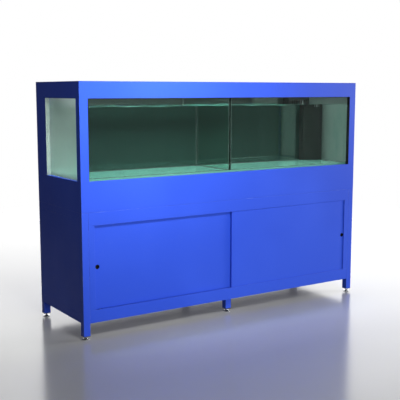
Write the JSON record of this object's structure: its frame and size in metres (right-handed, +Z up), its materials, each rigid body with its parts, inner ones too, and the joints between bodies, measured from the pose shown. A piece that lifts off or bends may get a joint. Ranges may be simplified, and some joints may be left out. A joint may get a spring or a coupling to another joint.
{
  "type": "aquarium on stand",
  "caption": "Long two-compartment glass aquarium in a painted steel casing, on a square-tube stand with sliding cabinet doors and levelling feet.",
  "frame": {"origin": "on the floor at the middle of the footprint", "axes": "+X to the right seen from the front, +Y from front to back, +Z up; the front with the doors faces -Y"},
  "size_m": [2, 0.6, 1.415],
  "materials": {
    "blue_paint": "gloss",
    "track_aluminium": "satin",
    "zinc_steel": "satin",
    "foot_chrome": "polished",
    "black_plastic": "matte",
    "roller_nylon": "matte",
    "tank_glass": "clear",
    "clear_silicone": "satin",
    "dark_film": "matte",
    "black_rubber": "matte",
    "grey_pvc": "satin",
    "grey_board": "satin",
    "plywood": "matte",
    "foam": "matte",
    "sump_acrylic": "satin",
    "filter_foam": "open cell",
    "red_plastic": "gloss"
  },
  "bodies": {
    "cabinet": {"corner_legs": "blue_paint", "mid_legs": "blue_paint", "front_bottom_rail": "blue_paint", "front_top_rail": "blue_paint", "door_jambs": "blue_paint", "stand_rails": "blue_paint", "side_panels": "blue_paint", "rear_panel": "blue_paint", "base_shelf": "grey_board", "lower_track": "track_aluminium", "upper_track": "track_aluminium", "leg_plugs": "black_plastic", "front_casing": "blue_paint", "left_casing": "blue_paint", "right_casing": "blue_paint", "rear_casing": "blue_paint", "top_frame": "blue_paint", "tank_bearers": "zinc_steel", "tank_board": "plywood", "foam_mat": "foam", "bottom_pane": "tank_glass", "front_pane": "tank_glass", "rear_pane": "tank_glass", "end_panes": "tank_glass", "partition_pane": "tank_glass", "brace_strips": "tank_glass", "silicone_seams": "clear_silicone", "rear_film": "dark_film", "window_gaskets": "black_rubber", "overflow_weir": "black_plastic", "drain_standpipe": "grey_pvc", "drain_pipe": "grey_pvc", "return_pipe": "grey_pvc", "sump_tank": "sump_acrylic", "filter_sponge": "filter_foam", "return_pump": "black_plastic", "cover_glasses": "tank_glass", "cover_hinges": "black_plastic", "cable_grommet": "black_rubber"},
    "left_door": {"left_door": "blue_paint", "left_finger_pull": "black_plastic", "left_door_brackets": "zinc_steel"},
    "right_door": {"right_door": "blue_paint", "right_finger_pull": "black_plastic", "right_door_brackets": "zinc_steel"},
    "left_roller_a": {"left_door_roller_a": "roller_nylon"},
    "left_roller_b": {"left_door_roller_b": "roller_nylon"},
    "right_roller_a": {"right_door_roller_a": "roller_nylon"},
    "right_roller_b": {"right_door_roller_b": "roller_nylon"},
    "left_lid": {"left_lid_glass": "tank_glass", "left_lid_trim": "black_plastic"},
    "right_lid": {"right_lid_glass": "tank_glass", "right_lid_trim": "black_plastic"},
    "valve_lever": {"valve_lever": "red_plastic"},
    "foot_front_left": {"foot_front_left": "foot_chrome"},
    "foot_front_mid": {"foot_front_mid": "foot_chrome"},
    "foot_front_right": {"foot_front_right": "foot_chrome"},
    "foot_rear_left": {"foot_rear_left": "foot_chrome"},
    "foot_rear_mid": {"foot_rear_mid": "foot_chrome"},
    "foot_rear_right": {"foot_rear_right": "foot_chrome"}
  },
  "joints": [
    {"name": "left_door_slide", "type": "slide", "parent": "cabinet", "child": "left_door", "axis": [1, 0, 0], "range_m": [0, 0.885]},
    {"name": "right_door_slide", "type": "slide", "parent": "cabinet", "child": "right_door", "axis": [-1, 0, 0], "range_m": [0, 0.885]},
    {"name": "left_roller_a_spin", "type": "hinge", "parent": "left_door", "child": "left_roller_a", "pos_m": [-0.863, -0.26825, 0.1563], "axis": [0, 1, 0], "continuous": true},
    {"name": "left_roller_b_spin", "type": "hinge", "parent": "left_door", "child": "left_roller_b", "pos_m": [-0.05, -0.26825, 0.1563], "axis": [0, 1, 0], "continuous": true},
    {"name": "right_roller_a_spin", "type": "hinge", "parent": "right_door", "child": "right_roller_a", "pos_m": [0.09, -0.28525, 0.1563], "axis": [0, -1, 0], "continuous": true},
    {"name": "right_roller_b_spin", "type": "hinge", "parent": "right_door", "child": "right_roller_b", "pos_m": [0.863, -0.28525, 0.1563], "axis": [0, -1, 0], "continuous": true},
    {"name": "left_lid_hinge", "type": "hinge", "parent": "cabinet", "child": "left_lid", "pos_m": [-0.4875, 0.06, 1.406], "axis": [-1, 0, 0], "range_deg": [0, 165]},
    {"name": "right_lid_hinge", "type": "hinge", "parent": "cabinet", "child": "right_lid", "pos_m": [0.4875, 0.06, 1.406], "axis": [-1, 0, 0], "range_deg": [0, 165]},
    {"name": "valve_turn", "type": "hinge", "parent": "cabinet", "child": "valve_lever", "pos_m": [0.88, 0.1875, 0.62], "axis": [0, 1, 0], "range_deg": [0, 90]},
    {"name": "foot_front_left_screw", "type": "hinge", "parent": "cabinet", "child": "foot_front_left", "pos_m": [-0.98, -0.28, 0.03], "axis": [0, 0, 1], "continuous": true},
    {"name": "foot_front_mid_screw", "type": "hinge", "parent": "cabinet", "child": "foot_front_mid", "pos_m": [0, -0.24, 0.03], "axis": [0, 0, 1], "continuous": true},
    {"name": "foot_front_right_screw", "type": "hinge", "parent": "cabinet", "child": "foot_front_right", "pos_m": [0.98, -0.28, 0.03], "axis": [0, 0, 1], "continuous": true},
    {"name": "foot_rear_left_screw", "type": "hinge", "parent": "cabinet", "child": "foot_rear_left", "pos_m": [-0.98, 0.28, 0.03], "axis": [0, 0, 1], "continuous": true},
    {"name": "foot_rear_mid_screw", "type": "hinge", "parent": "cabinet", "child": "foot_rear_mid", "pos_m": [0, 0.24, 0.03], "axis": [0, 0, 1], "continuous": true},
    {"name": "foot_rear_right_screw", "type": "hinge", "parent": "cabinet", "child": "foot_rear_right", "pos_m": [0.98, 0.28, 0.03], "axis": [0, 0, 1], "continuous": true}
  ],
  "couplings": [
    {"joint": "left_roller_a_spin", "follows": "left_door_slide", "rad_per_m": 166.67},
    {"joint": "left_roller_b_spin", "follows": "left_door_slide", "rad_per_m": 166.67},
    {"joint": "right_roller_a_spin", "follows": "right_door_slide", "rad_per_m": 166.67},
    {"joint": "right_roller_b_spin", "follows": "right_door_slide", "rad_per_m": 166.67}
  ]
}
